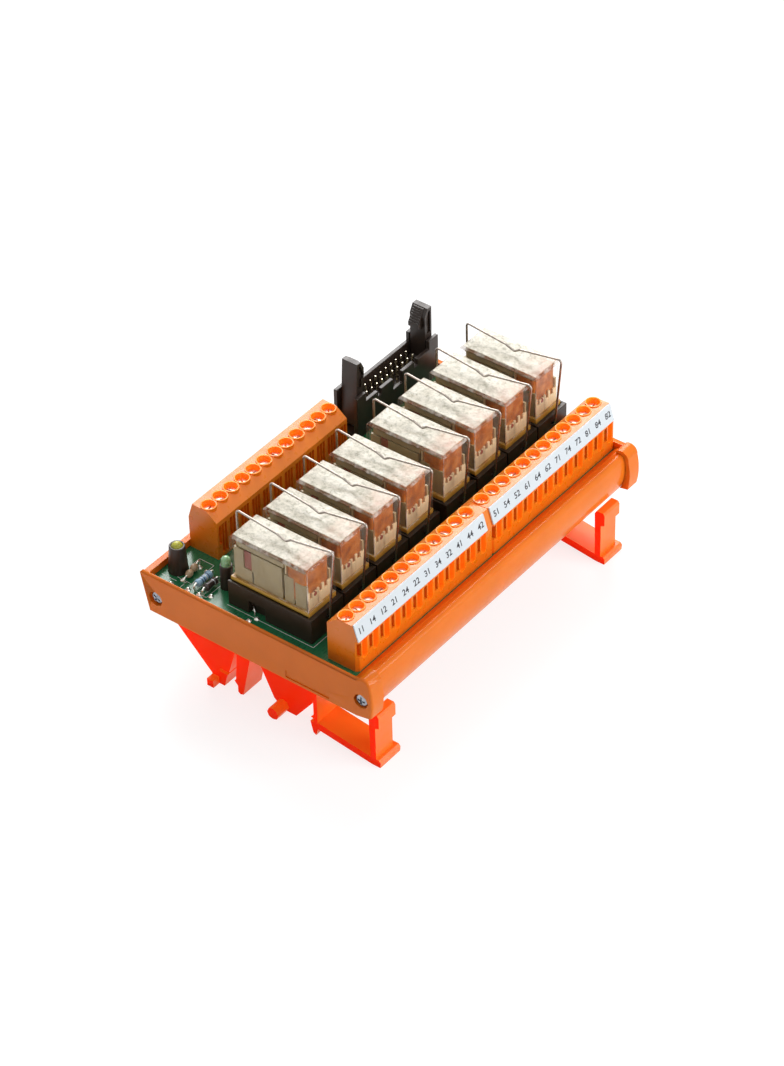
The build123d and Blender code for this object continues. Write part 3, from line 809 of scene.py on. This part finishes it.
def terminals():
    """Housings and their slotted screws."""
    plain = block_mesh()
    filled = block_mesh(block_filler)
    bm = bmesh.new()
    base = screw_top - screw_height
    shank = [(0, 9.3), (1.1, 9.3), (1.1, base)]
    head = [(screw_radius, base), (screw_radius, screw_top - 0.25), (1.5, screw_top), (0, screw_top)]
    lathe(bm, shank + head)
    screws = make_object(bm, "clamp_screws")
    slot = bmesh.new()
    box(slot, (-3, 3), (-0.27, 0.27), (screw_top - 0.75, screw_top + 1))
    combine(screws, slot, "DIFFERENCE")
    polish(screws, 0.06)
    places = []
    for name, start, line, turn in terminal_rows():
        mesh = filled if name == "output_block_near" else plain
        housing = place(show(name + "_housing", mesh.copy()), start, line, board_top, turn)
        finish_piece(housing, [orange_block, orange_well_painted_bright], [name])
        for pole in range(pole_count):
            step = pole_pitch * (pole + 0.5) * (-1 if turn else 1)
            angle = math.radians(35 + 47 * pole)
            spot = Matrix.Translation((start + step, line, board_top))
            places.append(spot @ Matrix.Rotation(angle, 4, "Z"))
    repeat(screws, places)
    finish_piece(screws, [steel], ["terminal_screws"])
    clamp_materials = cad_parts["terminal_clamps"].data.materials
    clamp_materials.clear()
    clamp_materials.append(tin)


def marker_numbers():
    """The plain numbers of the output terminals, two strips of twelve."""
    for name, first in (("marker_strip_near", 1), ("marker_strip_far", 5)):
        from_cad(name, name + "_plate", "white_strip", [white_strip], 0.1)
        low, high = millimetres(name)
        slope = math.atan2(block_crown - block_sill, block_front - crown_front)
        middle_y = (low.y + high.y) / 2 - 0.24
        middle_z = (low.z + high.z) / 2 + 0.08
        start = low.x - 0.2
        labels = [f"{group}{contact}" for group in range(first, first + 4) for contact in (1, 4, 2)]
        for pole, label in enumerate(labels):
            number_name = f"number_{label}"
            curve = bpy.data.curves.new(number_name, "FONT")
            curve.body = label
            curve.size = 2.75 * MM
            curve.offset = 0.035 * MM
            curve.extrude = 0.03 * MM
            curve.align_x = "CENTER"
            curve.align_y = "CENTER"
            written = show(number_name, curve)
            mesh = bpy.data.meshes.new_from_object(written)
            bpy.data.objects.remove(written)
            number = show(number_name, mesh)
            x = start + pole_pitch * (pole + 0.5)
            spot = Matrix.Translation(Vector((x, middle_y, middle_z)) * MM)
            number.matrix_world = spot @ Matrix.Rotation(slope, 4, "X")
            finish_piece(number, [number_ink])


# Relays

def socket_meshes():
    """Sockets with softened edges."""
    for index in RELAYS:
        from_cad(f"relay_socket_{index}", f"socket_{index}", "socket_black", [socket_black], 0.22)


def relay_works():
    """What the clear cover shows: base, side plates, bobbin flanges and the armature's end."""
    half_x, half_y = relay_half
    inner = half_x - 0.85
    bm = bmesh.new()
    box(bm, (-4.7, 4.7), (-4.0, 12.9), (1.5, 15.7))
    side_plates = (
        ((-12.6, 12.9), (14.9, 15.5)), ((6.2, 13.3), (1.5, 6.2)), ((9.8, 13.3), (6.1, 12.6)),
        ((-4.2, 6.9), (1.5, 12.9)), ((-8.4, -5.0), (1.5, 11.2)), ((-13.2, -8.9), (1.5, 10.3)),
        ((-4.9, 11.4), (13.4, 15.6)),
    )
    for side in (-1, 1):
        for ys, zs in side_plates:
            box(bm, sorted((side * (inner - 0.75), side * inner)), ys, zs)
    khaki = len(bm.faces)
    for xs, top in (((-5.4, -4.3), 7.8), ((-0.9, 0.0), 7.0), ((1.2, 2.2), 7.4), ((3.6, 5.4), 6.8)):
        box(bm, xs, (-13.35, -12.75), (1.5, top))
    box(bm, (-3.2, -0.5), (-13.35, -12.75), (1.5, 6.6))
    box(bm, (-5.4, 5.4), (-13.3, -12.8), (1.5, 5.2))
    box(bm, (-5.0, 5.0), (-5.6, -5.0), (1.5, 15.4))
    box(bm, (-5.0, 5.0), (-13.2, -5.4), (3.0, 3.7))
    white = len(bm.faces)
    for side in (-1, 1):
        xs = sorted((side * (inner - 1.1), side * (inner - 0.35)))
        box(bm, xs, (6.95, 9.75), (6.0, 12.5))
    # A reddish-brown disc in front stands in for a dark hole: painted shade.
    extrude(bm, ring(0.75, (-1.9, 5.9), sides=20), "y", -13.42, -12.8)
    red = len(bm.faces)
    box(bm, (-half_x, half_x), (-half_y, half_y), (0, 1.6))
    bm.faces.ensure_lookup_table()
    for index, face in enumerate(bm.faces):
        face.material_index = sum(index >= count for count in (khaki, white, red))
    works = polish(make_object(bm, "works"), 0.12)
    mesh = works.data
    bpy.data.objects.remove(works)
    return mesh


def windings(places):
    """The eight coils, in one piece as in the frame."""
    bm = bmesh.new()
    extrude(bm, rounded((-5.3, -12.7), (5.3, -5.7), 1.2), "z", 3.7, 15.3)
    coil = polish(make_object(bm, "windings"), 0.2)
    repeat(coil, [Matrix.Translation(spot) for spot in places])
    finish_piece(coil, [coil_copper], ["relay_coils"])


def bail_mesh(index):
    """The wire's route in the relay's own plane, read from the frame's bail box and the socket's."""
    low, high = millimetres(f"retaining_bail_{index}")
    socket_low, socket_high = millimetres(f"relay_socket_{index}")
    x = (low.x + high.x) / 2
    wire = 0.35
    grip = 2.4
    pivot = low.z + wire
    front, back = socket_low.y - 0.7, socket_high.y + 1.25
    top = high.z - wire
    route = [
        (x, socket_low.y + grip, pivot), (x, front, pivot), (x, front - 2.25, top), (x, -3.65, top - 2.9),
        (x, -1.6, top - 4.05), (x, 1.7, top - 3.1), (x, back + 0.1, top - 1.5), (x, back, pivot),
        (x, socket_high.y - grip, pivot),
    ]
    bm = bmesh.new()
    tube(bm, filleted(route, 0.9), wire)
    return smooth(make_object(bm, f"bail_wire_{index}"))


def relays():
    """Eight relays: works, winding, cover and bail."""
    works_mesh = relay_works()
    spots = []
    for index in RELAYS:
        spot = middle_of(f"relay_cover_{index}", seat_height)
        spots.append(spot)
        works = place(show(f"works_{index}", works_mesh.copy()), *spot)
        tones = [relay_khaki, relay_white, relay_red, relay_amber]
        finish_piece(works, tones, [f"relay_body_{index}"])
        sides = [cover_clear, cover_hazy, cover_edge_painted_highlight]
        cover = from_cad(f"relay_cover_{index}", f"cover_{index}", "clear_cover", sides, 0.2, 30, 3)
        top = (board_top + seat_height + cover_height) * MM
        # Top faces take the hazy material; bevelled edge faces take the one with painted highlights.
        for face in cover.data.polygons:
            if face.normal.z > 0.9 and face.center.z > top - 0.3 * MM:
                face.material_index = 1
            elif max(abs(part) for part in face.normal) < 0.97:
                face.material_index = 2
        bail = bail_mesh(index)
        finish_piece(bail, [bail_steel], [f"retaining_bail_{index}"], f"bail_{index}")
    windings(spots)


# Header

def latch_piece(name, side, lean):
    """One latch with its hook and ribbed grip; side is 1 at the far end."""
    pivot_x, pivot_z = latch_pivot
    outline = [
        (-3.6, 1.5), (-1.8, 0.6), (-1.2, -1.3), (0.4, -1.8), (1.4, -0.8), (1.7, 14.7),
        (1.7, 21.7), (-0.2, 21.7), (-1.7, 19.0), (-1.6, 3.4), (-3.6, 2.7),
    ]
    bm = bmesh.new()
    extrude(bm, outline, "y", -2.85, 2.85)
    latch = make_object(bm, name)
    grip = bmesh.new()
    wide = sorted((side * -1.7, side * 2.3))
    extrude(grip, [(-0.3, 21.6), (-3.3, 16.6), (-3.3, 15.2), (-1.6, 14.5), (-0.6, 14.5)], "y", *wide)
    combine(latch, grip, "UNION")
    pins = bmesh.new()
    extrude(pins, ring(1.0), "y", -3.7, 3.7)
    combine(latch, pins, "UNION")
    pockets = bmesh.new()
    pocket = [(1.0, 12.5), (1.0, 20.6), (0.2, 20.6), (-1.6, 16.6), (-0.6, 15.2), (-0.6, 12.5)]
    for low, high in ((-4, -2.2), (2.2, 4)):
        extrude(pockets, pocket, "y", low, high)
    combine(latch, pockets, "DIFFERENCE")
    ribs = bmesh.new()
    start, end = Vector((-3.25, 16.6)), Vector((-0.3, 21.6))
    for rib in range(7):
        spot = start.lerp(end, (rib + 0.5) / 7)
        tooth = [(spot.x - 0.28, spot.y + 0.1), (spot.x + 0.3, spot.y - 0.3), (spot.x + 0.5, spot.y + 0.25)]
        extrude(ribs, tooth, "y", wide[0] + 0.15, wide[1] - 0.15)
    combine(latch, ribs, "UNION")
    polish(latch, 0.12)
    middle = middle_of("header_housing")
    turn = Matrix.Rotation(0 if side > 0 else math.pi, 4, "Z")
    pivot = Matrix.Translation(Vector((pivot_x, 0, pivot_z)) * MM)
    tilt = Matrix.Rotation(math.radians(-lean), 4, "Y")
    latch.matrix_world = Matrix.Translation(middle * MM) @ turn @ pivot @ tilt
    return latch


def header():
    """Housing, pins and latches of the flat-cable header."""
    from_cad("header_housing", "header_box", "black_plastic", [black_plastic], 0.2)
    low, high = millimetres("header_pins")
    half = 0.32
    corner = math.sqrt(2)
    profile = [(half * corner, low.z), (half * corner, high.z - 0.6), (0.14 * corner, high.z)]
    bm = bmesh.new()
    lathe(bm, profile, sides=4)
    bmesh.ops.rotate(bm, verts=bm.verts, cent=(0, 0, 0), matrix=Matrix.Rotation(math.pi / 4, 3, "Z"))
    pins = make_object(bm, "header_contacts")
    pitch = (high.x - low.x - 2 * half) / 9
    rows = (low.y + half, high.y - half)
    spots = [(low.x + half + pitch * column, y, 0) for column in range(10) for y in rows]
    repeat(pins, [Matrix.Translation(spot) for spot in spots])
    finish_piece(pins, [pin_metal], ["header_pins"])
    for name, side, lean in (("near", -1, near_latch_lean), ("far", 1, 0.0)):
        latch = latch_piece(f"latch_lever_{name}", side, lean)
        finish_piece(latch, [black_plastic], [f"header_latch_{name}"], f"latch_{name}")


# Small parts

def lamp(name, lens_radius, rise, height, spots):
    """Domed lamp lenses, repeated at each spot."""
    bm = bmesh.new()
    turns = [math.pi / 14 * step for step in range(7)]
    dome = [(lens_radius * math.cos(turn), rise + lens_radius * math.sin(turn)) for turn in turns]
    lathe(bm, [(0, -1.0), (lens_radius, -1.0), *dome, (0, rise + lens_radius)])
    lens_piece = smooth(make_object(bm, name))
    repeat(lens_piece, [Matrix.Translation((x, y, board_top + height)) for x, y in spots])
    return lens_piece


def spacer(bm, foot, radius, height, x, y):
    """A tube that holds a lamp off the board, a little wider at its foot."""
    lip = radius - 0.5
    profile = [
        (0, 0), (foot, 0), (foot, 0.4), (radius, height - 0.2), (radius - 0.2, height), (lip, height),
        (lip - 0.1, height - 0.8), (0, height - 0.8),
    ]
    lathe(bm, profile, centre=(x, y, board_top))


def lamps():
    """The power lamp, the relays' lamps and their spacers."""
    led_y = middle_of("status_leds").y + 0.7
    shift = -2.0
    spots = [(middle_of(f"relay_cover_{index}").x + shift, led_y) for index in RELAYS]
    power = middle_of("power_led").xy
    green_height = 8.4
    green = lamp("lamps_green", 1.5, 1.5, green_height, spots)
    finish_piece(green, [green_lens], ["status_leds"])
    yellow_height = 9.3
    yellow = lamp("lamp_yellow", 1.85, -0.8, yellow_height, [power])
    finish_piece(yellow, [yellow_lens], ["power_led"])
    bm = bmesh.new()
    for x, y in spots:
        spacer(bm, 2.0, 1.9, green_height, x, y)
    spacer(bm, 3.05, 2.4, yellow_height, *power)
    tubes = smooth(make_object(bm, "lamp_spacers"))
    finish_piece(tubes, [black_plastic], ["led_spacers"])


def axial(name, node, radius, length, bands, materials):
    """A part lying on its leads: a turned body with bands given as (from, to, material)."""
    middle = middle_of(node, 2.0)
    half = length / 2
    cap = radius * 0.8
    edges = sorted({-half + 1.2, half - 1.2, *(value for band in bands for value in band[:2])})
    profile = [(0, -half), (cap, -half), (radius, -half + 0.3), (radius, -half + 1.0)]
    profile += [(cap * 1.05, value) for value in edges]
    profile += [(radius, half - 1.0), (radius, half - 0.3), (cap, half), (0, half)]
    bm = bmesh.new()
    lathe(bm, profile, axis="x", sides=24)
    bm.faces.ensure_lookup_table()
    for face in bm.faces:
        x = face.calc_center_median().x
        for start, end, material in bands:
            if start < x < end:
                face.material_index = material
    reach = half + 0.9
    lead = len(materials) - 1
    count = len(bm.faces)
    for side in (-1, 1):
        route = [(side * (half - 0.2), 0, 0), (side * reach, 0, 0), (side * reach, 0, -2.0)]
        tube(bm, filleted(route, 0.5), 0.3, sides=10)
    bm.faces.ensure_lookup_table()
    for face in bm.faces[count:]:
        face.material_index = lead
    part = place(smooth(make_object(bm, name)), *middle)
    finish_piece(part, materials, [node])


def beads():
    """Two dipped beads lying on their leads, one behind the other."""
    low, high = millimetres("bead_capacitors")
    first = Vector((low.x + 1.3, low.y + 1.2, board_top + 1.45))
    last = Vector((high.x - 1.3, high.y - 1.2, board_top + 1.45))
    along = (last - first).normalized()
    turn = along.to_track_quat("X", "Z").to_matrix().to_4x4()
    bm = bmesh.new()
    bead = [
        (0, -1.5), (0.45, -1.4), (0.95, -0.9), (1.15, -0.1), (1.1, 0.5), (0.7, 1.2), (0.35, 1.45), (0, 1.5),
    ]
    for spot in (first, last):
        made = lathe(bm, bead, axis="x", sides=24)
        bmesh.ops.transform(bm, matrix=Matrix.Translation(spot) @ turn, verts=made)
    count = len(bm.faces)
    for spot, way in ((first, -1), (last, 1)):
        end = spot + along * way * 3.0
        tube(bm, filleted([spot, end, Vector((end.x, end.y, board_top))], 0.5), 0.26, sides=10)
    tube(bm, [first, last], 0.3, sides=10)
    bm.faces.ensure_lookup_table()
    for face in bm.faces[count:]:
        face.material_index = 1
    pair = smooth(make_object(bm, "beads"))
    finish_piece(pair, [tan_body, tin], ["bead_capacitors"])


def small_parts():
    """What stands at the board's near end."""
    blue = [(-1.5, -1.1, 1), (-0.6, -0.2, 1), (0.3, 0.7, 2), (1.2, 1.6, 1)]
    axial("resistor_body", "resistor", 1.2, 6.0, blue, [blue_body, band_dark, band_pale, tin])
    axial("diode_body", "diode", 1.2, 4.6, [(0.9, 1.25, 1)], [black_body, band_pale, tin])
    beads()


# Board

def board():
    """The green board with printed lines, pads and solder."""
    from_cad("circuit_board", "board_plate", "green_board", [board_green], 0.08)
    lines = bmesh.new()

    def line(start, end, width=0.22):
        """A printed line on the board."""
        half = width / 2
        xs = (min(start[0], end[0]) - half, max(start[0], end[0]) + half)
        ys = (min(start[1], end[1]) - half, max(start[1], end[1]) + half)
        box(lines, xs, ys, (board_top - 0.01, board_top + 0.025))

    for index in RELAYS:
        low, high = millimetres(f"relay_socket_{index}")
        left, right, front, back = low.x - 0.25, high.x + 0.2, low.y - 1.1, high.y - 0.3
        if index == 1:
            left = low.x - 0.75
        line((left, front), (left, back))
        line((left, front), (right, front))
    frames = (
        ((-60.6, 24.6), (-53.0, 27.2)), ((-61.0, 21.4), (-53.6, 24.0)), ((-58.9, 28.6), (-48.8, 34.0)),
    )
    for low, high in frames:
        for corner in ((high[0], low[1]), (low[0], high[1])):
            line(low, corner)
            line(corner, high)
    line((-62.6, 30.4), (-59.2, 30.4))
    line((-60.4, 38.4), (-60.4, 33.2))
    marks = make_object(lines, "board_print")
    finish_piece(marks, [board_ink])
    solder = bmesh.new()
    pads = [
        (-61.4, 27.9), (-61.2, 23.9), (-59.8, 20.6), (-52.2, 28.6), (-51.8, 31.4), (-58.9, 31.9),
        (-62.2, 33.6), (-61.6, 5.2), (-59.6, 3.8),
    ]
    cone = [(0.85, 0), (0.8, 0.1), (0.4, 0.35), (0.25, 0.7), (0, 0.75)]
    for x, y in pads:
        lathe(solder, cone, centre=(x, y, board_top), sides=20)
    loop = [(-58.6, 5.4, -0.3), (-58.4, 5.6, 1.3), (-57.6, 6.6, 1.5), (-57.4, 6.9, 0.6), (-57.4, 6.9, -0.3)]
    tube(solder, filleted([(x, y, board_top + z) for x, y, z in loop], 0.5), 0.24, sides=10)
    joints = smooth(make_object(solder, "solder_joints"))
    finish_piece(joints, [tin])


# Stage

def split_rays(tree, lighting, seen, output):
    """Light the part by one shader and give the other to camera, glossy and transmission rays."""
    join = tree.links.new
    path = tree.nodes.new("ShaderNodeLightPath")
    share = path.outputs["Is Camera Ray"]
    for kind in ("Is Glossy Ray", "Is Transmission Ray"):
        either = tree.nodes.new("ShaderNodeMath")
        either.operation = "MAXIMUM"
        join(share, either.inputs[0])
        join(path.outputs[kind], either.inputs[1])
        share = either.outputs[0]
    mix = tree.nodes.new("ShaderNodeMixShader")
    join(share, mix.inputs["Fac"])
    join(lighting.outputs[0], mix.inputs[1])
    join(seen.outputs[0], mix.inputs[2])
    join(mix.outputs[0], output.inputs["Surface"])


def studio():
    """A pale floor and soft lamps behind and beside the part."""
    bpy.ops.mesh.primitive_plane_add(size=12)
    floor = bpy.context.object
    floor.name = "floor"
    material = bpy.data.materials.new("floor_white")
    material.use_nodes = True
    tree = material.node_tree
    tree.nodes.clear()
    output = tree.nodes.new("ShaderNodeOutputMaterial")
    pale = tree.nodes.new("ShaderNodeBsdfDiffuse")
    pale.inputs["Color"].default_value = (0.82, 0.82, 0.82, 1)
    add = tree.nodes.new("ShaderNodeAddShader")
    dim = tree.nodes.new("ShaderNodeBsdfDiffuse")
    dim.inputs["Color"].default_value = (0.3, 0.3, 0.3, 1)
    glow = tree.nodes.new("ShaderNodeEmission")
    glow.inputs["Strength"].default_value = 0.78
    tree.links.new(dim.outputs[0], add.inputs[0])
    tree.links.new(glow.outputs[0], add.inputs[1])
    split_rays(tree, pale, add, output)
    floor.data.materials.append(material)

    world = bpy.data.worlds.new("studio")
    bpy.context.scene.world = world
    world.use_nodes = True
    nodes = world.node_tree.nodes
    soft = nodes["Background"]
    soft.inputs["Color"].default_value = (1, 1, 1, 1)
    soft.inputs["Strength"].default_value = 0.35
    bright = nodes.new("ShaderNodeBackground")
    bright.inputs["Color"].default_value = (1, 1, 1, 1)
    bright.inputs["Strength"].default_value = 1.0
    split_rays(world.node_tree, soft, bright, nodes["World Output"])

    soft_lamp("softbox_behind", (0.61, 0.52, 0.63), 1.25, 0.8, 16)
    soft_lamp("softbox_front", (0.35, -1.0, 0.60), 1.3, 0.8, 10.5)
    soft_lamp("softbox_above", (-0.2, 0.1, 1.0), 1.3, 0.8, 1.5)


def soft_lamp(name, direction, distance, size, power):
    """A square soft box that faces the part."""
    light = bpy.data.lights.new(name, "AREA")
    light.size = size
    light.energy = power
    softbox = show(name, light)
    away = Vector(direction).normalized()
    softbox.location = away * distance + Vector((0, 0, 30 * MM))
    softbox.rotation_euler = away.to_track_quat("Z", "Y").to_euler()


def camera():
    """The photograph's view."""
    data = bpy.data.cameras.new("camera")
    data.lens = 128.46
    data.sensor_width = 36
    data.clip_start = 0.05
    view = show("camera", data)
    right = Vector((0.60878, -0.79311, -0.01901))
    up = Vector((0.51855, 0.37967, 0.76613))
    back = Vector((-0.60041, -0.47626, 0.64240))
    turn = Matrix((right, up, back)).transposed().to_4x4()
    view.matrix_world = Matrix.Translation(Vector((-674.98, -534.29, 745.98)) * MM) @ turn
    bpy.context.scene.camera = view
    bpy.context.scene.view_settings.view_transform = "Standard"


studio()
camera()
carrier()
plate_screws()
board()
terminals()
marker_numbers()
socket_meshes()
relays()
header()
lamps()
small_parts()


def corners(bounds):
    """A box as plain lists."""
    return [list(corner) for corner in bounds]
